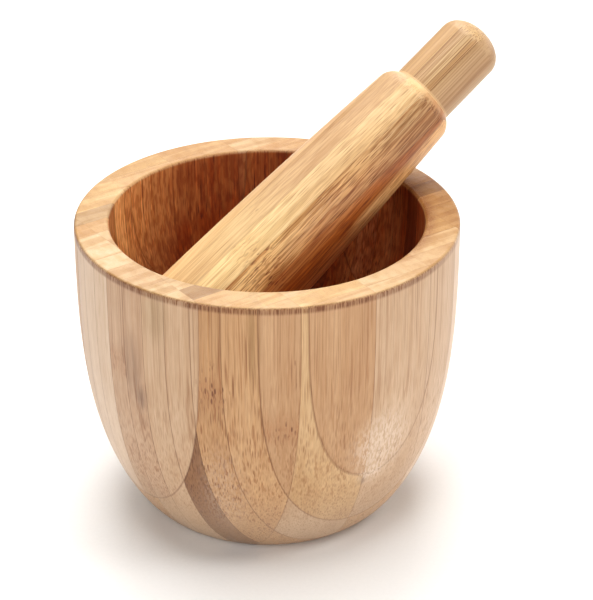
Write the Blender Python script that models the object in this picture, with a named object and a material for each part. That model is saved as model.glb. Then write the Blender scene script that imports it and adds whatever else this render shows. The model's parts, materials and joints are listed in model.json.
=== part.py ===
"""Bamboo mortar and pestle in metres, Z up: each is glued up from flat boards, then turned to a round shape.

The mortar stands on z = 0 and is turned about the Z axis. Its boards stand on edge, side by side, so each one runs
from rim to rim through the floor. The pestle leans in the cavity, held by an empty whose Z axis is the pestle's own.
"""

import math

import bmesh
import bpy
from mathutils import Vector

GLUE_GAP = 0.0003

# Mortar
HEIGHT = 0.0969
RIM_RADIUS = 0.0600
FOOT_RADIUS = 0.0377
OUTER_BULGE = 1.31
OUTER_RISE = 3.19
CAVITY_RADIUS = 0.0492
CAVITY_FLOOR = 0.0160
CAVITY_BULGE = 1.9
CAVITY_RISE = 2.4
RIM_EASE = 0.0010
MORTAR_SIDES = 72

# The mortar's boards, counted from the front to the back
BOARD_THICKNESS = 0.0076
BOARD_ANGLE = math.radians(35.0)
FIRST_JOINT = 0.0550
MORTAR_BOARDS = 16
OUTER_STOCK = 0.0660

# Pestle, measured along its axis from the shoulder plane, with the handle on the positive side
HANDLE_RADIUS = 0.0106
HANDLE_LENGTH = 0.0280
HANDLE_DOME = 0.0072
SHOULDER_RADIUS = 0.0134
SHOULDER_ROUND = 0.0058
BODY_TAPER = 0.0742
BODY_CURVE = -0.218
BODY_LENGTH = 0.1221
HEAD_DOME = 0.0100
PESTLE_SIDES = 48

# The pestle's boards, split by four glue joints across its axis
PESTLE_JOINTS = (0.0124, 0.0048, -0.0028, -0.0110)
PESTLE_STOCK = 0.0220
PESTLE_BOARD_ANGLE = math.radians(-151.1)

# The pestle's rest pose: where its shoulder is, which way it leans and how far from upright
SHOULDER_AT = (0.0497, 0.0348, 0.1226)
LEAN_HEADING = math.radians(32.9)
LEAN_ANGLE = math.radians(56.0)

MORTAR_COLOURS = (
    (0.78, 0.55, 0.32),
    (0.72, 0.48, 0.27),
    (0.80, 0.58, 0.34),
    (0.62, 0.38, 0.20),
)
PESTLE_COLOURS = (
    (0.80, 0.56, 0.32),
    (0.50, 0.28, 0.13),
    (0.62, 0.38, 0.19),
    (0.82, 0.60, 0.34),
    (0.76, 0.50, 0.27),
)


def clear_scene():
    for old in list(bpy.data.objects):
        bpy.data.objects.remove(old, do_unlink=True)


def bamboo(name, colour):
    """Oiled bamboo for one board."""
    made = bpy.data.materials.new(name)
    made.use_nodes = True
    shader = made.node_tree.nodes["Principled BSDF"]
    shader.inputs["Base Color"].default_value = (*colour, 1.0)
    shader.inputs["Roughness"].default_value = 0.5
    shader.inputs["Metallic"].default_value = 0.0
    return made


def superellipse(across, along, bulge, rise, steps):
    """Quarter curve from (across, 0) in to (0, along), as (sideways, lengthways) pairs."""
    pairs = []
    for step in range(steps + 1):
        turn = 0.5 * math.pi * step / steps
        sideways = across * max(math.cos(turn), 0.0) ** (2 / bulge)
        lengthways = along * math.sin(turn) ** (2 / rise)
        pairs.append((sideways, lengthways))
    pairs[-1] = (0.0, along)
    return pairs


def arc(centre, radius, start, end, steps):
    """Points of a circular arc in the profile plane, angles in degrees from the outward direction."""
    points = []
    for step in range(steps + 1):
        turn = math.radians(start + (end - start) * step / steps)
        points.append((centre[0] + radius * math.cos(turn), centre[1] + radius * math.sin(turn)))
    return points


def mortar_profile():
    """The mortar's section, from the middle of the foot, out and up over the rim, down to the cavity floor."""
    top = HEIGHT - RIM_EASE
    flare = superellipse(RIM_RADIUS - FOOT_RADIUS, top, OUTER_BULGE, OUTER_RISE, 13)
    outside = [(FOOT_RADIUS + sideways, top - below) for sideways, below in reversed(flare)]
    outer_edge = arc((RIM_RADIUS - RIM_EASE, top), RIM_EASE, 0, 90, 3)
    inner_edge = arc((CAVITY_RADIUS + RIM_EASE, top), RIM_EASE, 90, 180, 3)
    bowl = superellipse(CAVITY_RADIUS, top - CAVITY_FLOOR, CAVITY_BULGE, CAVITY_RISE, 14)
    inside = [(sideways, top - below) for sideways, below in bowl]
    return [(0.0, 0.0)] + outside[:-1] + outer_edge + inner_edge + inside[1:]


def body_radius(depth):
    """The pestle's radius at this depth below its shoulder plane."""
    return SHOULDER_RADIUS + BODY_TAPER * depth + BODY_CURVE * depth * depth


def pestle_profile():
    """The pestle's section, from the middle of its head out, up past the shoulder to the handle's tip."""
    head_top = BODY_LENGTH - HEAD_DOME
    dome = superellipse(body_radius(head_top), HEAD_DOME, 2.3, 2.3, 7)
    head = [(sideways, -head_top - below) for sideways, below in reversed(dome)]
    spans = 7
    step = (head_top - SHOULDER_ROUND) / spans
    body = [(body_radius(head_top - step * i), step * i - head_top) for i in range(1, spans)]
    corner = (body_radius(SHOULDER_ROUND) - SHOULDER_ROUND, -SHOULDER_ROUND)
    crease = math.degrees(math.acos((HANDLE_RADIUS - corner[0]) / SHOULDER_ROUND))
    shoulder = arc(corner, SHOULDER_ROUND, 0, crease, 4)
    grip_end = HANDLE_LENGTH - HANDLE_DOME
    tip = superellipse(HANDLE_RADIUS, HANDLE_DOME, 2.1, 2.1, 6)
    handle = [(sideways, grip_end + above) for sideways, above in tip]
    return head + body + shoulder + handle


def turned(name, profile, sides):
    """Closed solid of revolution about local Z, kept out of renders: the shape the boards are cut to."""
    mesh = bpy.data.meshes.new(name)
    work = bmesh.new()
    points = [work.verts.new((radius, 0.0, height)) for radius, height in profile]
    edges = [work.edges.new(pair) for pair in zip(points, points[1:])]
    bmesh.ops.spin(
        work,
        geom=points + edges,
        cent=(0.0, 0.0, 0.0),
        axis=(0.0, 0.0, 1.0),
        angle=2 * math.pi,
        steps=sides,
        use_merge=True,
    )
    bmesh.ops.remove_doubles(work, verts=work.verts, dist=1e-6)
    bmesh.ops.recalc_face_normals(work, faces=work.faces)
    for face in work.faces:
        face.smooth = True
    work.to_mesh(mesh)
    work.free()
    blank = bpy.data.objects.new(name, mesh)
    blank.display_type = "WIRE"
    blank.hide_render = True
    bpy.context.collection.objects.link(blank)
    return blank


def plank(name, low, high, length, bottom, top, angle):
    """Flat board standing on edge: its thickness runs from low to high along the direction at this angle."""
    mesh = bpy.data.meshes.new(name)
    work = bmesh.new()
    bmesh.ops.create_cube(work, size=1.0)
    bmesh.ops.scale(work, vec=(high - low, length, top - bottom), verts=work.verts)
    bmesh.ops.translate(work, vec=((low + high) / 2, 0.0, (bottom + top) / 2), verts=work.verts)
    work.to_mesh(mesh)
    work.free()
    board = bpy.data.objects.new(name, mesh)
    board.rotation_euler = (0.0, 0.0, angle)
    bpy.context.collection.objects.link(board)
    return board


def turn_down(board, blank, colour):
    """Cuts the board to the part of the turned shape that lies inside it."""
    cut = board.modifiers.new("turned", "BOOLEAN")
    cut.operation = "INTERSECT"
    cut.solver = "EXACT"
    cut.object = blank
    bpy.context.view_layer.update()
    graph = bpy.context.evaluated_depsgraph_get()
    mesh = bpy.data.meshes.new_from_object(board.evaluated_get(graph))
    board.modifiers.clear()
    board.data = mesh
    mesh.set_sharp_from_angle(angle=math.radians(35))
    mesh.materials.clear()
    mesh.materials.append(bamboo(board.name, colour))


def make_mortar():
    blank = turned("mortar_shape", mortar_profile(), MORTAR_SIDES)
    normal = BOARD_ANGLE - math.pi / 2
    for index in range(MORTAR_BOARDS):
        low = FIRST_JOINT - BOARD_THICKNESS * index
        high = low + BOARD_THICKNESS - GLUE_GAP
        if index == 0:
            high = OUTER_STOCK
        if index == MORTAR_BOARDS - 1:
            low = -OUTER_STOCK
        name = f"mortar_board_{index + 1:02d}"
        board = plank(name, low, high, 0.14, -0.01, HEIGHT + 0.01, normal)
        turn_down(board, blank, MORTAR_COLOURS[index % len(MORTAR_COLOURS)])


def make_pestle():
    axis = bpy.data.objects.new("pestle_axis", None)
    axis.location = Vector(SHOULDER_AT)
    axis.rotation_euler = (LEAN_ANGLE, 0.0, LEAN_HEADING + math.pi / 2)
    bpy.context.collection.objects.link(axis)
    blank = turned("pestle_shape", pestle_profile(), PESTLE_SIDES)
    blank.parent = axis
    edges = (PESTLE_STOCK,) + PESTLE_JOINTS + (-PESTLE_STOCK,)
    for index, (high, low) in enumerate(zip(edges, edges[1:])):
        top = HANDLE_LENGTH + 0.01
        bottom = -BODY_LENGTH - 0.01
        name = f"pestle_board_{index + 1}"
        board = plank(name, low + GLUE_GAP / 2, high - GLUE_GAP / 2, 0.05, bottom, top, PESTLE_BOARD_ANGLE)
        board.parent = axis
        turn_down(board, blank, PESTLE_COLOURS[index])


clear_scene()
make_mortar()
make_pestle()
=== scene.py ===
"""Bamboo mortar and pestle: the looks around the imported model, in metres, Z up.

Every packed board is replaced by a finer board of the same shape, cut into the strips it is glued up from.
The grain is a solid pattern: fibres run along each board, so they show as lines along it and as dots across
its ends.
"""

import json
import math
import random

import bmesh
import bpy
from mathutils import Matrix, Vector


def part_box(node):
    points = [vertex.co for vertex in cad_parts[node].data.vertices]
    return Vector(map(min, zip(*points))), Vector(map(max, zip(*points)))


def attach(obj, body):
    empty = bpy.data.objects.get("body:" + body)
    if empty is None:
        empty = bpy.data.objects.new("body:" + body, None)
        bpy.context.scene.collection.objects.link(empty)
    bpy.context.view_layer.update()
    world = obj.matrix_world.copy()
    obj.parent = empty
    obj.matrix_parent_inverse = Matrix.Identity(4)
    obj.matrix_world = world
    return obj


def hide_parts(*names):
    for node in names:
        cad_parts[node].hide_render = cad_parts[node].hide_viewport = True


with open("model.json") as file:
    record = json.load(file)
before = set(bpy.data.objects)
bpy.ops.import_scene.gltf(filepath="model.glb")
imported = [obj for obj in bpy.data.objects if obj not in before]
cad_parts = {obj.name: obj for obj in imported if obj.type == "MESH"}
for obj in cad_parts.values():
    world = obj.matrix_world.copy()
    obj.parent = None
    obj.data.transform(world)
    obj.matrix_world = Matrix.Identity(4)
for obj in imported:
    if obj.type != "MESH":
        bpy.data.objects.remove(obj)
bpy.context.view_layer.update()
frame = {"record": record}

# Mortar section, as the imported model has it
RIM_RADIUS = 0.0600
FOOT_RADIUS = 0.0377
OUTER_BULGE = 1.31
OUTER_RISE = 3.19
CAVITY_RADIUS = 0.0492
CAVITY_FLOOR = 0.0160
CAVITY_BULGE = 1.9
CAVITY_RISE = 2.4
RIM_EASE = 0.0010
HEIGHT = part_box("mortar_board_08")[1].z
MORTAR_SIDES = 240

# Glue joints: boards lie side by side, and strips lie edge to edge inside each board
BOARD_ANGLE = math.radians(35.0)
BOARD_THICKNESS = 0.0076
FIRST_JOINT = 0.0550
STRIP_WIDTH = 0.0230
STRIP_JOINT = -0.0030
FIRST_STRIP = -3
STRIP_COUNT = 6
HAIRLINE = 0.00004
SHARP_ANGLE = math.radians(35.0)

# Pestle section, measured along its axis from the shoulder plane
HANDLE_RADIUS = 0.0106
HANDLE_LENGTH = 0.0280
HANDLE_DOME = 0.0072
SHOULDER_RADIUS = 0.0134
SHOULDER_ROUND = 0.0058
BODY_TAPER = 0.0742
BODY_CURVE = -0.218
BODY_LENGTH = 0.1221
HEAD_DOME = 0.0100
HEAD_BULGE = 2.3
TIP_BULGE = 2.1
PESTLE_SIDES = 144
PESTLE_JOINTS = (0.0124, 0.0048, -0.0028, -0.0110)
PESTLE_REACH = 0.0260
HANDLE_FOOT = -0.0002
PESTLE_BOARD_ANGLE = math.radians(-151.1)
SHOULDER_AT = (0.0497, 0.0348, 0.1226)
LEAN_HEADING = math.radians(32.9)
LEAN_ANGLE = math.radians(56.0)

# Tones of bamboo, by letter: colour, then how dark its fibres are
TONES = {
    "W": ((0.75, 0.57, 0.425), 0.15),
    "P": ((0.64, 0.44, 0.285), 0.45),
    "Y": ((0.66, 0.43, 0.225), 0.60),
    "S": ((0.605, 0.37, 0.20), 0.50),
    "T": ((0.615, 0.365, 0.18), 0.72),
    "O": ((0.59, 0.345, 0.165), 1.00),
    "B": ((0.40, 0.24, 0.125), 0.80),
    "K": ((0.28, 0.125, 0.045), 0.80),
    "M": ((0.59, 0.385, 0.245), 0.70),
    "R": ((0.92, 0.55, 0.235), 0.80),
    "D": ((0.87, 0.61, 0.30), 1.00),
    "C": ((0.87, 0.635, 0.335), 0.40),
    "L": ((0.65, 0.42, 0.21), 0.30),
    "E": ((0.76, 0.495, 0.26), 0.25),
    "G": ((0.58, 0.40, 0.22), 0.30),
    "H": ((0.63, 0.43, 0.22), 0.80),
    "J": ((0.58, 0.36, 0.165), 0.25),
}

# The strips of each mortar board from left to right, boards from front to back
MORTAR_TONES = (
    "TTSPPY", "TSYPPP", "PTPTWT", "POTPYT", "PKTPTT", "PPTYTT", "MPBTTK", "MTPTBT",
    "WTPTTY", "WPTTTP", "WPTPYY", "TTPTBB", "BBTPTT", "YYTPTT", "YYTTPT", "PPYTTY",
)
PESTLE_TONES = "RDCLE"
HANDLE_TONES = "RGHJL"

# How the two kinds of wood look:
#   thin_oil_and_light   what the colour is multiplied by where there is no oil; above 1 it is painted light
#   deep_oil_and_shade   what it is multiplied by where the oil and the painted shade are deepest
#   glue                 how strongly the glue joints show
#   fibre, hair          tints of a thick and of a thin dark fibre
#   rods, wide           thick fibres per metre, and how much of its cell each one fills
#   even                 how dark the faintest thick fibre is, against the darkest
#   bend, grit           how far the fibres wander, and how short the grit is along them
MORTAR_LOOK = {
    "thin_oil_and_light": (1.55, 1.30, 1.00), "deep_oil_and_shade": (0.51, 0.155, 0.045), "glue": 0.75,
    "fibre": (0.50, 0.35, 0.22), "hair": (0.80, 0.68, 0.56),
    "rods": 1350.0, "wide": 0.38, "even": 0.35, "bend": 1.0, "grit": 160.0,
}
PESTLE_LOOK = {
    "thin_oil_and_light": (1.0, 1.0, 1.0), "deep_oil_and_shade": (0.65, 0.33, 0.13), "glue": 0.15,
    "fibre": (0.36, 0.20, 0.10), "hair": (0.48, 0.32, 0.19),
    "rods": 1700.0, "wide": 0.32, "even": 0.30, "bend": 0.22, "grit": 45.0,
}

# Tints that multiply the colour of the wood
TINTS = {
    "streak": (0.88, 0.80, 0.70),
    "broad": (0.90, 0.85, 0.79),
    "blotch": (0.94, 0.91, 0.87),
    "grit": (0.88, 0.84, 0.78),
    "pale_fibre": (1.16, 1.17, 1.16),
    "line": (0.68, 0.52, 0.38),
    "comb": (0.64, 0.50, 0.36),
    "cavity_fibre": (0.46, 0.30, 0.22),
    "cavity_pale": (1.35, 1.35, 1.30),
    "cavity_dash": (0.74, 0.60, 0.52),
    "knuckle": (0.78, 0.60, 0.46),
    "glue": (0.46, 0.31, 0.20),
    "rim_edge": (0.37, 0.19, 0.065),
    "rim_patch": (0.90, 0.83, 0.68),
    "rim_stripe": (0.86, 0.77, 0.62),
    "rim": (1.01, 1.05, 1.00),
    "rim_oil": (0.78, 0.64, 0.46),
    "seep": (0.56, 0.35, 0.18),
    # Painted light towards the pestle's head, and painted shade below its shoulder
    "head_painted_light": (1.30, 1.46, 1.48),
    "shoulder_painted_shade": (0.77, 0.85, 0.98),
    "smudge": (0.50, 0.44, 0.42),
    "olive": (0.66, 0.64, 0.50),
    "crumb": (0.34, 0.16, 0.08),
}

# Colours that cover the wood: dust on the rim, painted shade and painted floor reflection on the foot,
# the pestle's worn shoulder and pale scuffs
COVERS = {
    "dust": (0.68, 0.45, 0.22),
    "foot": (0.50, 0.375, 0.27),
    "shoulder": (0.80, 0.55, 0.30),
    "scuff": (0.76, 0.59, 0.45),
}
BUMP_STRENGTH = 0.4
BUMP_DEPTH = 0.00015

# How deep the oil and the painted shade are round the cavity, with painted light where there is none,
# and how deep the oil is round the rim, at degrees from +X
CAVITY_OIL_LIGHT_AND_SHADE = (
    (-180, 0.20), (-150, 0.40), (-90, 0.70), (0, 0.90), (25, 1.00), (37, 0.25), (50, 0.00), (62, 1.00),
    (98, 0.82), (120, 0.88), (138, 0.45), (158, 0.00), (180, 0.20),
)
RIM_OIL = (
    (-180, 0.12), (-160, 0.34), (-130, 0.22), (-90, 0.00), (-65, 0.00), (-38, 0.40), (-20, 0.85),
    (15, 1.00), (60, 0.50), (90, 0.30), (120, 0.20), (150, 0.32), (160, 0.00), (170, 0.30), (180, 0.12),
)

# The oil and painted shade round the pestle's shaded side, at degrees about its own axis;
# the middle of its first board is at -90
PESTLE_OIL_AND_SHADE = (
    (-180, 0.00), (-172, 0.00), (-162, 0.28), (-150, 0.50), (-134, 0.80), (-128, 0.75), (-120, 1.00),
    (-112, 1.00), (-90, 0.50), (-70, 0.00), (180, 0.00),
)
# How much of the pestle's oil and painted shade the handle keeps
HANDLE_OIL_AND_SHADE = 0.30

# Heights of the culm's knuckles by board, and in the mortar by strip, counted from the one at STRIP_JOINT
MORTAR_KNUCKLES = {4: {-2: 0.0665}, 8: {-3: 0.0680}, 2: {-2: 0.0545}, 12: {0: 0.0400}, 14: {1: 0.0600}}
PESTLE_KNUCKLES = {2: -0.0760, 3: -0.0780}
NO_KNUCKLE = 1.0

# Marks of wear and growth. Mortar: degrees round from +X and height. Pestle: degrees round its axis and
# height along it. Then half width, half height, kind and strength. The kinds are 0 grey smudge,
# 1 pale scuff, 2 dark crumbs and 3 olive streak.
MORTAR_MARKS = (
    (-133.2, 0.0680, 0.0034, 0.0120, 0, 0.75),
    (-130.4, 0.0585, 0.0022, 0.0045, 0, 0.95),
    (-123.5, 0.0890, 0.0040, 0.0085, 3, 0.80),
    (-106.2, 0.0668, 0.0009, 0.0012, 2, 1.00),
    (-105.4, 0.0680, 0.0050, 0.0085, 2, 0.90),
    (-104.5, 0.0290, 0.0070, 0.0160, 1, 0.28),
    (-94.2, 0.0850, 0.0022, 0.0150, 3, 0.85),
    (-83.8, 0.0550, 0.0024, 0.0030, 2, 1.00),
    (-87.5, 0.0535, 0.0018, 0.0018, 2, 0.90),
    (-82.6, 0.0770, 0.0010, 0.0080, 2, 0.55),
    (-52.5, 0.0420, 0.0100, 0.0115, 1, 0.90),
    (-54.5, 0.0320, 0.0050, 0.0035, 1, 1.00),
    (-49.5, 0.0375, 0.0060, 0.0040, 2, 0.45),
    (-58.2, 0.0292, 0.0018, 0.0018, 0, 1.00),
)
PESTLE_MARKS = (
    (157.9, -0.0668, 0.0040, 0.0009, 2, 0.90),
    (-160.0, -0.0770, 0.0060, 0.0050, 2, 0.60),
    (-143.5, -0.0790, 0.0070, 0.0060, 2, 0.90),
    (-146.0, -0.0560, 0.0035, 0.0140, 1, 0.15),
)

# What the bamboo material reads from the mesh
ATTRIBUTES = {
    "place": ("FLOAT_VECTOR", "POINT"),
    "oil": ("FLOAT", "POINT"),
    "tone": ("FLOAT_COLOR", "CORNER"),
    "marks": ("FLOAT_COLOR", "CORNER"),
    "shift": ("FLOAT_VECTOR", "FACE"),
    "bounds": ("FLOAT_VECTOR", "FACE"),
    "knuckle": ("FLOAT", "FACE"),
    "cavity": ("FLOAT", "FACE"),
}

# The stage: a wide floor that glows from this far out, soft lamps and a camera
FLOOR_REACH = 20.0
GLOW_FROM = 0.7
GLOW_FULL = 1.6
LAMP_AIM = (0.0, 0.0, 0.05)
LAMP_COLOUR = (1.0, 0.99, 0.97)
LAMPS = {
    "overhead": ((0.0, 0.0, 1.2), 0.8, 10.0),
    "rear": ((0.0, 0.8, 1.0), 0.8, 9.0),
    "front_left": ((-0.6, -0.9, 0.9), 0.8, 6.0),
    "right": ((0.75, -0.25, 1.0), 0.35, 3.0),
    "rear_left": ((-0.5, 0.7, 0.9), 0.6, 3.0),
}
CAMERA_PLACE = (0.0, -0.6789, 0.4338)
CAMERA_DOWN = 28.36
CAMERA_TURN = -0.77
CAMERA_LENS = 146.2
CAMERA_SENSOR = 36.0


def superellipse(across, along, bulge, rise, steps):
    """Quarter curve from (across, 0) in to (0, along), as (sideways, lengthways) pairs."""
    pairs = []
    for step in range(steps + 1):
        turn = 0.5 * math.pi * (step / steps) ** (rise / 2)
        sideways = across * max(math.cos(turn), 0.0) ** (2 / bulge)
        lengthways = along * math.sin(turn) ** (2 / rise)
        pairs.append((sideways, lengthways))
    pairs[-1] = (0.0, along)
    return pairs


def arc(centre, radius, start, end, steps):
    """Points of a circular arc in the profile plane, angles in degrees from the outward direction."""
    points = []
    for step in range(steps + 1):
        turn = math.radians(start + (end - start) * step / steps)
        points.append((centre[0] + radius * math.cos(turn), centre[1] + radius * math.sin(turn)))
    return points


def mortar_profile():
    """The mortar's section, from the middle of the foot, up over the rim and down to the cavity floor."""
    top = HEIGHT - RIM_EASE
    flare = superellipse(RIM_RADIUS - FOOT_RADIUS, top, OUTER_BULGE, OUTER_RISE, 60)
    outside = [(FOOT_RADIUS + sideways, top - below) for sideways, below in reversed(flare)]
    outer_edge = arc((RIM_RADIUS - RIM_EASE, top), RIM_EASE, 0, 90, 6)
    inner_edge = arc((CAVITY_RADIUS + RIM_EASE, top), RIM_EASE, 90, 180, 6)
    bowl = superellipse(CAVITY_RADIUS, top - CAVITY_FLOOR, CAVITY_BULGE, CAVITY_RISE, 52)
    inside = [(sideways, top - below) for sideways, below in bowl]
    foot = [(FOOT_RADIUS * share, 0.0) for share in (0.0, 0.5, 0.9)]
    return foot + outside[:-1] + outer_edge + inner_edge + inside[1:]


def body_radius(depth):
    """The pestle's radius at this depth below its shoulder plane."""
    return SHOULDER_RADIUS + BODY_TAPER * depth + BODY_CURVE * depth * depth


def pestle_profile():
    """The pestle's section, from the middle of its head out, up past the shoulder to the handle's tip."""
    head_top = BODY_LENGTH - HEAD_DOME
    dome = superellipse(body_radius(head_top), HEAD_DOME, HEAD_BULGE, HEAD_BULGE, 20)
    head = [(sideways, -head_top - below) for sideways, below in reversed(dome)]
    spans = 30
    step = (head_top - SHOULDER_ROUND) / spans
    body = [(body_radius(head_top - step * i), step * i - head_top) for i in range(1, spans)]
    corner = (body_radius(SHOULDER_ROUND) - SHOULDER_ROUND, -SHOULDER_ROUND)
    crease = math.degrees(math.acos((HANDLE_RADIUS - corner[0]) / SHOULDER_ROUND))
    shoulder = arc(corner, SHOULDER_ROUND, 0, crease, 12)
    grip_end = HANDLE_LENGTH - HANDLE_DOME
    tip = superellipse(HANDLE_RADIUS, HANDLE_DOME, TIP_BULGE, TIP_BULGE, 20)
    handle = [(sideways, grip_end + above) for sideways, above in tip]
    return head + body + shoulder + handle


def turned(profile, sides):
    """Closed solid of revolution about Z, as a bmesh."""
    work = bmesh.new()
    points = [work.verts.new((radius, 0.0, height)) for radius, height in profile]
    edges = [work.edges.new(pair) for pair in zip(points, points[1:])]
    bmesh.ops.spin(
        work,
        geom=points + edges,
        cent=(0.0, 0.0, 0.0),
        axis=(0.0, 0.0, 1.0),
        angle=2 * math.pi,
        steps=sides,
        use_merge=True,
    )
    bmesh.ops.remove_doubles(work, verts=work.verts, dist=1e-7)
    bmesh.ops.recalc_face_normals(work, faces=work.faces)
    for face in work.faces:
        face.smooth = True
    return work


def geometry(work):
    """Everything in the bmesh."""
    return list(work.verts) + list(work.edges) + list(work.faces)


def keep_behind(work, point, outward):
    """Cuts away what lies beyond the plane and closes the cut with a flat face."""
    bmesh.ops.bisect_plane(
        work, geom=geometry(work), dist=1e-7, plane_co=point, plane_no=outward, clear_outer=True
    )
    rim = [edge for edge in work.edges if edge.is_boundary]
    filled = bmesh.ops.triangle_fill(work, use_beauty=False, use_dissolve=True, edges=rim, normal=outward)
    for item in filled["geom"]:
        if isinstance(item, bmesh.types.BMFace):
            item.smooth = False


def score(work, point, across):
    """Cuts the surface along a plane without parting it."""
    bmesh.ops.bisect_plane(work, geom=geometry(work), dist=1e-7, plane_co=point, plane_no=across)


def slab(blank, normal, low, high):
    """The part of the blank between two planes square to the normal."""
    piece = blank.copy()
    keep_behind(piece, normal * (high - HAIRLINE / 2), normal)
    keep_behind(piece, normal * (low + HAIRLINE / 2), -normal)
    bmesh.ops.recalc_face_normals(piece, faces=piece.faces)
    return piece


def strip_of(place):
    """Index of the strip that holds this place along the board."""
    return math.floor((place - STRIP_JOINT) / STRIP_WIDTH)


def fade(value, start, end):
    """Smooth step from 0 at start to 1 at end."""
    share = min(max((value - start) / (end - start), 0.0), 1.0)
    return share * share * (3 - 2 * share)


def mark_amounts(point, angle, marks):
    """How much of each kind of mark there is at this point, whose degrees round the axis are given."""
    amounts = [0.0, 0.0, 0.0, 0.0]
    radius = math.hypot(point.x, point.y)
    for centre, height, half_width, half_height, kind, strength in marks:
        sideways = math.radians((angle - centre + 180) % 360 - 180) * radius / half_width
        lengthways = (point.z - height) / half_height
        reach = math.hypot(sideways, lengthways)
        amounts[kind] = max(amounts[kind], strength * (1 - fade(reach, 0.3, 1.5)))
    return amounts


def is_cavity(face, low, high):
    """Whether this mortar face belongs to the cavity, not to the rim, the wall or a glued side."""
    depth = -face.center.y
    if abs(face.normal.y) > 0.999 and min(abs(depth - low), abs(depth - high)) < HAIRLINE:
        return False
    outward = (face.normal.x * face.center.x + face.normal.y * face.center.y) / math.hypot(*face.center.xy)
    floor = face.normal.z > 0.3 and face.center.z < HEIGHT - RIM_EASE * 1.2
    return outward < -0.05 or floor


def between(angle, pairs):
    """The value at this angle, from (degrees, value) pairs in rising order."""
    for (start, first), (end, last) in zip(pairs, pairs[1:]):
        if angle <= end:
            return first + (last - first) * (angle - start) / (end - start)
    return pairs[-1][1]


def mortar_oil_light_and_shade(spot, angle):
    """How deep the oil and painted shade are round the cavity and down it, and the oil along one side of the
    rim.
    """
    outer = math.hypot(spot.x, spot.y) > (RIM_RADIUS + CAVITY_RADIUS) / 2
    if HEIGHT - spot.z < (RIM_EASE * 4 if outer else RIM_EASE * 0.5):
        return between(angle, RIM_OIL)
    # Deeper down the cavity the colour is darker: oil and painted shade
    return min(between(angle, CAVITY_OIL_LIGHT_AND_SHADE) + 0.30 * fade(HEIGHT - spot.z, 0.012, 0.035), 1.0)


def pestle_oil_and_shade(spot, angle):
    """How deep the oil and painted shade are on the pestle's shaded side.

    It is thin on the handle, absent high up on the far side of the first board, which stays lighter, and a
    little thinner near the head on the others, as painted light against the shade there.
    """
    depth = between(angle, PESTLE_OIL_AND_SHADE)
    if spot.z > -0.001:
        return depth * HANDLE_OIL_AND_SHADE
    if -spot.y > PESTLE_JOINTS[0]:
        lighter_strip = fade(angle, -112, -105) * (1 - fade(-spot.z, 0.040, 0.055))
        return depth * (1 - lighter_strip)
    # Lighter near the head: painted light against the shade there
    return depth * (0.95 - 0.25 * fade(-spot.z, 0.058, 0.075))


def paint_points(mesh, data, turn, marks):
    """Stores each point's place and its oil with painted light and shade, and gives back how much of each
    mark it has.
    """
    oil_light_and_shade_at = mortar_oil_light_and_shade if marks is MORTAR_MARKS else pestle_oil_and_shade
    amounts = []
    for vertex in mesh.vertices:
        data["place"][vertex.index].vector = vertex.co
        angle = (math.degrees(math.atan2(vertex.co.y, vertex.co.x)) + turn + 180) % 360 - 180
        data["oil"][vertex.index].value = oil_light_and_shade_at(vertex.co, angle)
        amounts.append(mark_amounts(vertex.co, angle, marks))
    return amounts


def paint(mesh, turn, tones, low, high, knuckles, marks, handle=None):
    """Stores what the wood needs to know: place in the board, tone, glue joints, oil with painted light and
    shade, and marks.

    The mesh is still in its board's own directions, which stand turn degrees round from the part's. A handle
    has a letter of its own for its tone.
    """
    for name, (kind, domain) in ATTRIBUTES.items():
        mesh.attributes.new(name, kind, domain)
    data = {name: mesh.attributes[name].data for name in ATTRIBUTES}
    amounts = paint_points(mesh, data, turn, marks)
    mortar = marks is MORTAR_MARKS
    for face in mesh.polygons:
        strip = strip_of(face.center.x)
        letter = tones[min(max(strip - FIRST_STRIP, 0), len(tones) - 1)]
        colour, fibre = TONES[handle if handle and face.center.z > HANDLE_FOOT else letter]
        draw = random.Random(f"{mesh.name} {strip}")
        data["shift"][face.index].vector = (draw.random(), draw.random(), draw.random())
        data["knuckle"][face.index].value = knuckles.get(strip, NO_KNUCKLE)
        data["bounds"][face.index].vector = (low, high, STRIP_JOINT + STRIP_WIDTH * strip)
        data["cavity"][face.index].value = float(mortar and is_cavity(face, low, high))
        for corner in face.loop_indices:
            data["tone"][corner].color = (*colour, fibre)
            data["marks"][corner].color = amounts[mesh.loops[corner].vertex_index]


def finished_piece(name, work, matrix, material, **looks):
    """Turns the bmesh into a painted piece with this name, place and material."""
    mesh = bpy.data.meshes.new(name)
    work.to_mesh(mesh)
    work.free()
    paint(mesh, **looks)
    mesh.transform(matrix)
    mesh.set_sharp_from_angle(angle=SHARP_ANGLE)
    mesh.materials.append(material)
    piece = bpy.data.objects.new(name, mesh)
    bpy.context.scene.collection.objects.link(piece)
    return piece


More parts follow.
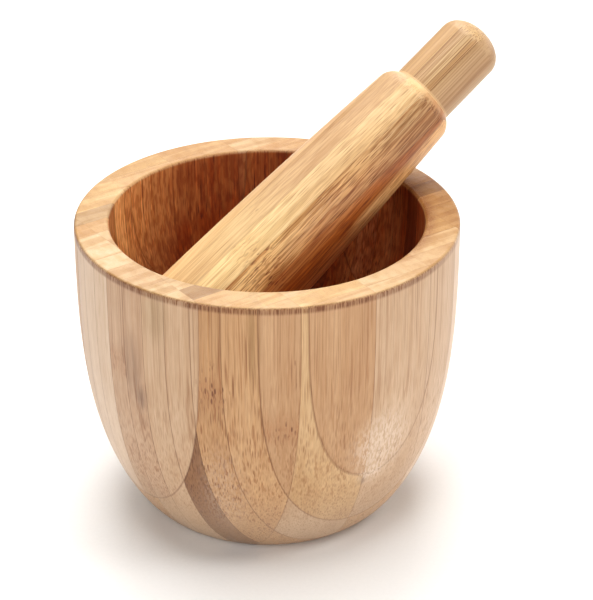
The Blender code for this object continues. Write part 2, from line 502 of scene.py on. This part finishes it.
class Tree:
    """Short calls for building a material's nodes."""

    def __init__(self, material):
        self.tree = material.node_tree
        self.made = 0

    def add(self, kind, **settings):
        node = self.tree.nodes.new("ShaderNode" + kind)
        node.location = (180 * (self.made % 12) - 2400, -260 * (self.made // 12))
        self.made += 1
        for key, value in settings.items():
            setattr(node, key, value)
        return node

    def put(self, socket, value):
        if isinstance(value, bpy.types.NodeSocket):
            self.tree.links.new(value, socket)
        else:
            socket.default_value = value

    def attribute(self, name, output):
        return self.add("Attribute", attribute_name=name).outputs[output]

    def math(self, operation, first, second=0.0):
        node = self.add("Math", operation=operation)
        self.put(node.inputs[0], first)
        self.put(node.inputs[1], second)
        return node.outputs[0]

    def vector(self, operation, first, second):
        node = self.add("VectorMath", operation=operation)
        self.put(node.inputs[0], first)
        self.put(node.inputs[1], second)
        return node.outputs[0]

    def scaled(self, vector, factor):
        node = self.add("VectorMath", operation="SCALE")
        self.put(node.inputs[0], vector)
        self.put(node.inputs["Scale"], factor)
        return node.outputs[0]

    def ramp(self, value, start, end, low=0.0, high=1.0):
        """Smooth step from low at start to high at end."""
        node = self.add("MapRange", interpolation_type="SMOOTHSTEP")
        for socket, setting in zip(node.inputs, (value, start, end, low, high)):
            self.put(socket, setting)
        return node.outputs[0]

    def mix(self, factor, first, second, blend="MIX"):
        node = self.add("Mix", data_type="RGBA", blend_type=blend)
        self.put(node.inputs[0], factor)
        self.put(node.inputs[6], first)
        self.put(node.inputs[7], second)
        return node.outputs[2]

    def tint(self, factor, colour, multiplier):
        """The colour multiplied by a constant, as far as the factor says."""
        return self.mix(factor, colour, (*multiplier, 1.0), "MULTIPLY")

    def noise(self, place, scale, detail, output="Fac"):
        """Noise with its own scale along each axis."""
        node = self.add("TexNoise")
        self.put(node.inputs["Vector"], self.vector("MULTIPLY", place, scale))
        node.inputs["Scale"].default_value = 1.0
        node.inputs["Detail"].default_value = detail
        return node.outputs[output]

    def cells(self, dimensions, place, scale, start, end):
        """Spots in a loose lattice: 1 in the middle of each, 0 past its edge; and a chance for each one."""
        node = self.add("TexVoronoi", voronoi_dimensions=dimensions, feature="F1")
        self.put(node.inputs["Vector"], place)
        node.inputs["Scale"].default_value = scale
        node.inputs["Randomness"].default_value = 0.85
        chance = self.add("SeparateColor")
        self.put(chance.inputs[0], node.outputs["Color"])
        return self.ramp(node.outputs["Distance"], start, end, 1.0, 0.0), chance.outputs[0]

    def rods(self, place, scale, start, end):
        """Rods along Z."""
        return self.cells("2D", place, scale, start, end)

    def dots(self, place, scale, start, end):
        """Grains with their own scale along each axis."""
        return self.cells("3D", self.vector("MULTIPLY", place, scale), 1.0, start, end)

    def times(self, *factors):
        product = factors[0]
        for factor in factors[1:]:
            product = self.math("MULTIPLY", product, factor)
        return product


def grain_place(tree, band, waver):
    """Where to look the pattern up: fibres wander slowly, and swirl where they pass a knuckle."""
    start = tree.vector("ADD", tree.attribute("place", "Vector"), tree.attribute("shift", "Vector"))
    slow = tree.vector("SUBTRACT", tree.noise(start, (26.0, 26.0, 7.0), 1.0, "Color"), (0.5, 0.5, 0.5))
    middle = tree.vector("SUBTRACT", tree.noise(start, (300.0, 300.0, 38.0), 1.0, "Color"), (0.5, 0.5, 0.5))
    quick = tree.vector("SUBTRACT", tree.noise(start, (420.0, 420.0, 260.0), 1.0, "Color"), (0.5, 0.5, 0.5))
    bend = tree.vector("ADD", tree.scaled(slow, 0.0030 * waver), tree.scaled(middle, 0.0004 * waver))
    bend = tree.vector("ADD", bend, tree.scaled(quick, tree.math("MULTIPLY", band, 0.0016)))
    return tree.vector("ADD", start, tree.vector("MULTIPLY", bend, (1.0, 1.0, 0.0)))


def comb_lines(tree, height):
    """Straight lines down the pestle, as fine all round it, that stop short of its rounded ends."""
    spot = tree.attribute("place", "Vector")
    flat = tree.vector("NORMALIZE", tree.vector("MULTIPLY", spot, (1.0, 1.0, 0.0)), (0.0, 0.0, 0.0))
    along = tree.vector("MULTIPLY", spot, (0.0, 0.0, 1.0))
    wrapped = tree.vector("ADD", tree.scaled(flat, SHOULDER_RADIUS), along)
    wrapped = tree.vector("ADD", wrapped, tree.attribute("shift", "Vector"))
    lines = tree.ramp(tree.noise(wrapped, (1900.0, 1900.0, 45.0), 1.0), 0.44, 0.60)
    ends = tree.times(tree.ramp(height, -0.110, -0.104), tree.ramp(height, 0.020, 0.023, 1.0, 0.0))
    return tree.times(lines, ends)


def glue_distance(tree, place):
    """Millimetres from this point to the nearest glue joint of its board or strip."""
    bounds = tree.add("SeparateXYZ")
    tree.put(bounds.inputs[0], tree.attribute("bounds", "Vector"))
    depth = tree.math("MULTIPLY", place.outputs[1], -1.0)
    front = tree.math("SUBTRACT", depth, bounds.outputs[0])
    back = tree.math("SUBTRACT", bounds.outputs[1], depth)
    left = tree.math("SUBTRACT", place.outputs[0], bounds.outputs[2])
    right = tree.math("SUBTRACT", STRIP_WIDTH, left)
    nearest = tree.math("MINIMUM", tree.math("MINIMUM", front, back), tree.math("MINIMUM", left, right))
    return tree.math("MULTIPLY", nearest, 1000.0)


class Wood:
    """A bamboo material while it is built: where a point is, the patterns there, and the colour so far."""

    def __init__(self, tree, look):
        self.tree = tree
        self.look = look
        self.tints = {**TINTS, "fibre": look["fibre"], "hair": look["hair"]}
        spot = tree.attribute("place", "Vector")
        self.place = tree.add("SeparateXYZ")
        tree.put(self.place.inputs[0], spot)
        self.height = self.place.outputs[2]
        self.oil = tree.attribute("oil", "Fac")
        self.cavity = tree.attribute("cavity", "Fac")

        self.below = tree.math("SUBTRACT", HEIGHT, self.height)
        self.inside = tree.times(self.cavity, tree.ramp(self.below, 0.0002, 0.0014))
        self.top = tree.ramp(self.below, 0.0001, 0.0007, 1.0, 0.0)
        off_knuckle = tree.math("SUBTRACT", self.height, tree.attribute("knuckle", "Fac"))
        self.band = tree.ramp(tree.math("ABSOLUTE", off_knuckle), 0.001, 0.0085, 1.0, 0.0)

        self.loose = tree.vector("ADD", spot, tree.attribute("shift", "Vector"))
        self.grain = grain_place(tree, self.band, look["bend"])
        self.streak = tree.noise(self.grain, (520.0, 520.0, 5.0), 3.0)
        self.fine = tree.noise(self.grain, (2600.0, 2600.0, look["grit"]), 2.0)
        self.blotch = tree.noise(self.grain, (60.0, 60.0, 45.0), 3.0)

        tone = tree.add("Attribute", attribute_name="tone")
        self.colour = tone.outputs["Color"]
        self.fibre = self.fibre_strength(tone.outputs["Alpha"])

    def shoulder(self):
        """1 on the pestle's rounded shoulder, 0 elsewhere."""
        rise = self.tree.ramp(self.height, -0.0035, -0.0015)
        return self.tree.times(rise, self.tree.ramp(self.height, -0.0003, 0.0003, 1.0, 0.0))

    def fibre_strength(self, strength):
        """Fibres hardly show on the worn shoulder, or on the rim, where dust fills their ends."""
        tree = self.tree
        on_rim = tree.ramp(self.oil, 0.0, 0.9, 0.25, 0.60)
        strength = tree.times(strength, tree.ramp(self.top, 0.0, 1.0, 1.0, on_rim))
        if self.look is PESTLE_LOOK:
            strength = tree.times(strength, tree.ramp(self.shoulder(), 0.0, 1.0, 1.0, 0.25))
        return strength

    def tint(self, amount, kind):
        """Multiplies the colour by the tint of this kind, as far as the amount says."""
        self.colour = self.tree.tint(amount, self.colour, self.tints[kind])

    def cover(self, amount, kind):
        """Lays the cover of this kind over the colour, as far as the amount says."""
        self.colour = self.tree.mix(amount, self.colour, (*COVERS[kind], 1.0))


def fibre_rods(wood):
    """Thick, thin and pale fibres: lines where the surface follows them, dots where it cuts them."""
    tree, grain, look = wood.tree, wood.grain, wood.look
    rods, chance = tree.rods(grain, look["rods"], 0.10, look["wide"])
    patch = tree.noise(grain, (140.0, 140.0, 14.0), 2.0)
    even = look["even"]
    dark = tree.ramp(chance, 0.1, 0.8, even, 1.0)
    thick = tree.times(rods, dark, tree.ramp(patch, 0.36, 0.60, even, 1.0))
    breaks = tree.noise(grain, (900.0, 900.0, 150.0), 1.0)
    thick = tree.times(thick, tree.ramp(tree.times(wood.inside, breaks), 0.38, 0.50, 1.0, 0.25))
    elsewhere = tree.vector("ADD", grain, (0.37, 0.11, 0.0))
    thin, chance = tree.rods(elsewhere, 2300.0, 0.10, look["wide"] + 0.07)
    thin = tree.times(thin, tree.ramp(chance, 0.2, 0.9, 0.2, 0.9))
    elsewhere = tree.vector("ADD", grain, (0.71, 0.53, 0.0))
    pale, chance = tree.rods(elsewhere, 1250.0, 0.10, 0.48)
    pale = tree.times(pale, tree.ramp(chance, 0.2, 0.9, 0.1, 0.8))
    return thick, thin, pale


def add_streaks(wood):
    """Slow changes of tone along the grain, and fine grit."""
    tree = wood.tree
    broad = tree.noise(wood.grain, (85.0, 85.0, 3.0), 2.0)
    wood.tint(tree.ramp(wood.streak, 0.34, 0.62, 0.6, 0.0), "streak")
    wood.tint(tree.ramp(broad, 0.32, 0.66, 1.0, 0.0), "broad")
    wood.tint(tree.ramp(wood.blotch, 0.35, 0.65, 0.7, 0.0), "blotch")
    wood.tint(tree.ramp(wood.fine, 0.3, 0.7, 0.8, 0.0), "grit")


def add_fibres(wood):
    """Pale and dark fibres, drawn more strongly in the cavity; gives back the thick ones."""
    tree, fibre, inside = wood.tree, wood.fibre, wood.inside
    thick, thin, pale = fibre_rods(wood)
    line = tree.ramp(tree.noise(wood.grain, (1000.0, 1000.0, 3.5), 1.0), 0.60, 0.68)
    wood.tint(tree.times(pale, fibre), "pale_fibre")
    wood.tint(tree.times(line, fibre), "line")
    wood.tint(tree.times(thin, fibre), "hair")
    wood.tint(tree.times(thick, fibre), "fibre")
    if wood.look is PESTLE_LOOK:
        wood.tint(tree.times(comb_lines(tree, wood.height), fibre), "comb")
    dashes = tree.noise(wood.grain, (1000.0, 1000.0, 230.0), 1.0)
    wood.tint(tree.times(thick, inside), "cavity_fibre")
    wood.tint(tree.times(pale, inside), "cavity_pale")
    wood.tint(tree.times(inside, tree.ramp(dashes, 0.44, 0.60)), "cavity_dash")
    return thick


def add_joints(wood):
    """Darker bands at the knuckles, and glue joints as fine brown lines."""
    tree = wood.tree
    wood.tint(tree.times(wood.band, tree.ramp(wood.fine, 0.35, 0.7, 0.2, 0.7)), "knuckle")
    glue = wood.look["glue"]
    seam = tree.math("ADD", glue_distance(tree, wood.place), tree.times(wood.fine, 0.10))
    strength = tree.ramp(tree.noise(wood.grain, (22.0, 22.0, 14.0), 1.0), 0.35, 0.62, glue * 0.6, glue)
    strength = tree.times(strength, tree.ramp(wood.top, 0.0, 1.0, 1.0, 0.5))
    wood.tint(tree.ramp(seam, 0.08, 0.26, strength, 0.0), "glue")


def add_rim(wood):
    """Cut fibres as a dark dotted line round the rim's outer edge, and a dusty, patchy, striped top."""
    tree, below, top, oil = wood.tree, wood.below, wood.top, wood.oil
    edge = tree.times(tree.ramp(below, 0.0001, 0.0003), tree.ramp(below, 0.0016, 0.0028, 1.0, 0.0))
    dotted = tree.ramp(wood.fine, 0.35, 0.60, 1.0, 0.45)
    edge = tree.times(edge, tree.math("SUBTRACT", 1.0, wood.cavity), dotted)
    wood.tint(tree.times(edge, tree.ramp(oil, 0.3, 0.7, 1.0, 0.5)), "rim_edge")
    wood.cover(tree.times(top, 0.30), "dust")
    patches = tree.ramp(tree.noise(wood.loose, (330.0, 190.0, 300.0), 6.0), 0.36, 0.70)
    wood.tint(tree.times(top, patches, tree.ramp(oil, 0.0, 0.3, 0.75, 1.0)), "rim_patch")
    stripes = tree.ramp(tree.noise(wood.loose, (34.0, 300.0, 30.0), 2.0), 0.44, 0.58)
    wood.tint(tree.times(top, stripes), "rim_stripe")
    wood.tint(top, "rim")


def add_mortar_wear_and_shade(wood):
    """Painted shade and painted floor reflection darken and grey the foot; oil seeps out of the cavity into
    one side of the rim.
    """
    tree = wood.tree
    x, y = wood.place.outputs[0], wood.place.outputs[1]
    # Painted shade and painted floor reflection: darker and greyer towards the bottom
    wood.cover(tree.ramp(wood.height, 0.006, 0.034, 0.36, 0.0), "foot")
    radius = tree.math("POWER", tree.math("ADD", tree.times(x, x), tree.times(y, y)), 0.5)
    seep = tree.ramp(radius, CAVITY_RADIUS + 0.0005, CAVITY_RADIUS + 0.0050, 1.0, 0.0)
    uneven = tree.ramp(wood.fine, 0.35, 0.60, 0.2, 1.0)
    wood.tint(tree.times(seep, wood.top, tree.ramp(wood.oil, 0.2, 0.8), uneven), "seep")


def add_pestle_light_shade_and_wear(wood):
    """Painted light low down on all boards but the first, painted shade below the shoulder, worn on the
    shoulder.
    """
    tree, height = wood.tree, wood.height
    first_joint = -PESTLE_JOINTS[0]
    other_boards = tree.ramp(wood.place.outputs[1], first_joint - HAIRLINE, first_joint + HAIRLINE)
    # Painted light: paler towards the head
    wood.tint(tree.times(tree.ramp(height, -0.084, -0.044, 1.0, 0.0), other_boards), "head_painted_light")
    # Painted shade: darker below the shoulder on the oiled side
    shoulder_painted_shade = tree.times(tree.ramp(height, -0.042, -0.012), tree.ramp(height, -0.0015, 0.0, 1.0, 0.0))
    wood.tint(tree.times(shoulder_painted_shade, tree.ramp(wood.oil, 0.1, 0.5)), "shoulder_painted_shade")
    wood.cover(tree.times(wood.shoulder(), 0.45), "shoulder")


def add_marks(wood):
    """Smudges, olive streaks, scuffs and crumbs; gives back how scuffed and how pitted the surface is."""
    tree, loose = wood.tree, wood.loose
    marks = tree.add("Attribute", attribute_name="marks")
    kinds = tree.add("SeparateColor")
    tree.put(kinds.inputs[0], marks.outputs["Color"])
    smudge, scuff, crumbs = kinds.outputs[0], kinds.outputs[1], kinds.outputs[2]
    olive = marks.outputs["Alpha"]
    wood.tint(tree.times(smudge, tree.ramp(wood.streak, 0.3, 0.7, 1.0, 0.4)), "smudge")
    wood.tint(tree.times(olive, tree.ramp(wood.streak, 0.3, 0.7, 1.0, 0.3)), "olive")
    grains = tree.noise(loose, (1400.0, 1400.0, 480.0), 2.0)
    worn = tree.times(scuff, tree.ramp(grains, 0.40, 0.58, 0.20, 0.90))
    wood.cover(worn, "scuff")
    dots, chance = tree.dots(loose, (1150.0, 1150.0, 300.0), 0.22, 0.42)
    pits = tree.times(crumbs, tree.times(dots, tree.ramp(chance, 0.25, 0.35)))
    wood.tint(pits, "crumb")
    return worn, pits


def add_oil_light_and_shade(wood):
    """Oil and painted shade darken the cavity and one side of the pestle, painted light lifts the cavity
    where the oil is thin, and oil darkens one side of the rim.
    """
    tree, look = wood.tree, wood.look
    uneven = tree.ramp(wood.blotch, 0.3, 0.7, 0.9, 1.1)
    uneven = tree.times(uneven, tree.ramp(wood.streak, 0.3, 0.7, 0.88, 1.12))
    depth = tree.times(wood.oil, uneven)
    # Where the oil is deep this is oil and painted shade; in the cavity, where it is thin, it is painted
    # light
    oil_and_shade_tint = tree.mix(depth, (*look["thin_oil_and_light"], 1.0), (*look["deep_oil_and_shade"], 1.0))
    oil_and_shade_reach = wood.inside if look is MORTAR_LOOK else 1.0
    wood.colour = tree.mix(oil_and_shade_reach, wood.colour, oil_and_shade_tint, "MULTIPLY")
    wood.tint(tree.times(wood.top, depth), "rim_oil")


def add_surface(wood, shader, thick, worn, pits):
    """Roughness and relief: fibres and scuffs are rougher, and fibres and crumbs lie a little lower."""
    tree = wood.tree
    rough = tree.math("ADD", tree.ramp(wood.streak, 0.3, 0.7, 0.38, 0.50), tree.times(thick, 0.14))
    tree.put(shader.inputs["Roughness"], tree.math("ADD", rough, tree.times(worn, 0.2)))
    relief = tree.math("SUBTRACT", tree.times(wood.fine, 0.5), tree.times(thick, 0.8))
    bump = tree.add("Bump")
    bump.inputs["Strength"].default_value = BUMP_STRENGTH
    bump.inputs["Distance"].default_value = BUMP_DEPTH
    tree.put(bump.inputs["Height"], tree.math("SUBTRACT", relief, pits))
    tree.put(shader.inputs["Normal"], bump.outputs["Normal"])


def bamboo(name, look):
    """Oiled bamboo: fibres as a solid pattern drawn out along Z, knuckles, glue joints, wear, and painted
    light and shade.
    """
    material = bpy.data.materials.new(name)
    material.use_nodes = True
    wood = Wood(Tree(material), look)
    add_streaks(wood)
    thick = add_fibres(wood)
    add_joints(wood)
    add_rim(wood)
    if look is MORTAR_LOOK:
        add_mortar_wear_and_shade(wood)
    else:
        add_pestle_light_shade_and_wear(wood)
    worn, pits = add_marks(wood)
    add_oil_light_and_shade(wood)
    shader = material.node_tree.nodes["Principled BSDF"]
    wood.tree.put(shader.inputs["Base Color"], wood.colour)
    add_surface(wood, shader, thick, worn, pits)
    return material


def make_mortar(materials, slots):
    """Sixteen boards cut from one turned bowl."""
    blank = turned(mortar_profile(), MORTAR_SIDES)
    matrix = Matrix.Rotation(BOARD_ANGLE, 4, "Z")
    front = Vector((0.0, -1.0, 0.0))
    for index, tones in enumerate(MORTAR_TONES):
        number = index + 1
        node = f"mortar_board_{number:02d}"
        low = FIRST_JOINT - BOARD_THICKNESS * index
        high = low + BOARD_THICKNESS
        if number == len(MORTAR_TONES):
            low = -RIM_RADIUS * 1.1
        work = slab(blank, front, low, high)
        for joint in range(FIRST_STRIP, FIRST_STRIP + STRIP_COUNT + 1):
            place = STRIP_JOINT + STRIP_WIDTH * joint
            score(work, Vector((place, 0.0, 0.0)), Vector((1.0, 0.0, 0.0)))
        looks = {"tones": tones, "low": low, "high": high, "knuckles": MORTAR_KNUCKLES.get(number, {})}
        wood = materials[slots[node]]
        turn = math.degrees(BOARD_ANGLE)
        piece = finished_piece(f"{node}_wood", work, matrix, wood, turn=turn, marks=MORTAR_MARKS, **looks)
        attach(piece, "mortar")
        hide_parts(node)
    blank.free()


def make_pestle(materials, slots):
    """Five boards cut from one turned pestle, leaning in the bowl."""
    blank = turned(pestle_profile(), PESTLE_SIDES)
    turn = PESTLE_BOARD_ANGLE + math.pi / 2
    stand = Matrix.Translation(SHOULDER_AT) @ Matrix.Rotation(LEAN_HEADING + math.pi / 2, 4, "Z")
    matrix = stand @ Matrix.Rotation(LEAN_ANGLE, 4, "X") @ Matrix.Rotation(turn, 4, "Z")
    front = Vector((0.0, -1.0, 0.0))
    edges = (PESTLE_REACH, *PESTLE_JOINTS, -PESTLE_REACH)
    for index, (high, low) in enumerate(zip(edges, edges[1:])):
        number = index + 1
        node = f"pestle_board_{number}"
        work = slab(blank, front, low, high)
        height = PESTLE_KNUCKLES.get(number, NO_KNUCKLE)
        knuckles = {strip: height for strip in range(FIRST_STRIP, FIRST_STRIP + STRIP_COUNT)}
        looks = {"tones": PESTLE_TONES[index] * STRIP_COUNT, "low": low, "high": high, "knuckles": knuckles}
        looks["handle"] = HANDLE_TONES[index]
        wood = materials[slots[node]]
        piece = finished_piece(f"{node}_wood", work, matrix, wood, turn=0.0, marks=PESTLE_MARKS, **looks)
        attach(piece, "pestle")
        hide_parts(node)
    blank.free()


def make_floor():
    """White paper that reaches to the horizon."""
    mesh = bpy.data.meshes.new("floor")
    work = bmesh.new()
    bmesh.ops.create_grid(work, x_segments=8, y_segments=8, size=FLOOR_REACH)
    work.to_mesh(mesh)
    work.free()
    material = bpy.data.materials.new("floor_paper")
    material.use_nodes = True
    tree = Tree(material)
    shader = material.node_tree.nodes["Principled BSDF"]
    place = tree.add("TexCoord").outputs["Object"]
    fleck = tree.noise(place, (900.0, 900.0, 900.0), 2.0)
    shade = tree.ramp(fleck, 0.2, 0.8, 0.90, 0.92)
    tree.put(shader.inputs["Base Color"], tree.vector("MULTIPLY", (1.0, 0.995, 0.985), shade))
    shader.inputs["Roughness"].default_value = 0.9

    # Far from the lamps the floor glows a little, so it stays pale up to the horizon
    away = tree.add("VectorMath", operation="LENGTH")
    tree.put(away.inputs[0], place)
    shader.inputs["Emission Color"].default_value = (1.0, 1.0, 1.0, 1.0)
    glow = tree.ramp(away.outputs["Value"], GLOW_FROM, GLOW_FULL, 0.0, 0.9)
    tree.put(shader.inputs["Emission Strength"], glow)
    mesh.materials.append(material)
    floor = bpy.data.objects.new("floor", mesh)
    bpy.context.scene.collection.objects.link(floor)


def area_light(name, place, width, watts):
    """A round lamp aimed at the object."""
    data = bpy.data.lights.new(name, "AREA")
    data.shape = "DISK"
    data.size = width
    data.energy = watts
    data.color = LAMP_COLOUR
    lamp = bpy.data.objects.new(name, data)
    lamp.location = place
    lamp.rotation_euler = (Vector(LAMP_AIM) - Vector(place)).to_track_quat("-Z", "Y").to_euler()
    bpy.context.scene.collection.objects.link(lamp)


def make_light():
    """A dark ceiling with bright walls, brightest on the right, and five soft lamps."""
    world = bpy.data.worlds.new("studio")
    world.use_nodes = True
    tree = Tree(world)
    way = tree.add("SeparateXYZ")
    tree.put(way.inputs[0], tree.add("TexCoord").outputs["Generated"])
    walls = tree.ramp(way.outputs[2], 0.15, 0.60, 1.0, 0.0)
    strength = tree.math("MULTIPLY", walls, tree.ramp(way.outputs[0], -0.3, 0.3, 0.3, 1.8))
    background = world.node_tree.nodes["Background"]
    tree.put(background.inputs["Strength"], strength)
    background.inputs["Color"].default_value = (1.0, 0.99, 0.98, 1.0)
    bpy.context.scene.world = world
    for name, (place, width, watts) in LAMPS.items():
        area_light(name, place, width, watts)


def make_camera():
    """A long lens in front of the object, looking down on it."""
    data = bpy.data.cameras.new("camera")
    data.sensor_width = CAMERA_SENSOR
    data.lens = CAMERA_LENS
    camera = bpy.data.objects.new("camera", data)
    camera.location = CAMERA_PLACE
    camera.rotation_euler = (math.radians(90.0 - CAMERA_DOWN), 0.0, math.radians(CAMERA_TURN))
    bpy.context.scene.collection.objects.link(camera)
    bpy.context.scene.camera = camera
    bpy.context.scene.view_settings.view_transform = "Standard"


slots = {part["node"]: part["material_slot"] for part in frame["record"]["subparts"]}
materials = {}
for slot in sorted(set(slots.values())):
    materials[slot] = bamboo(slot, PESTLE_LOOK if slot.startswith("pestle") else MORTAR_LOOK)
make_mortar(materials, slots)
make_pestle(materials, slots)
make_floor()
make_light()
make_camera()
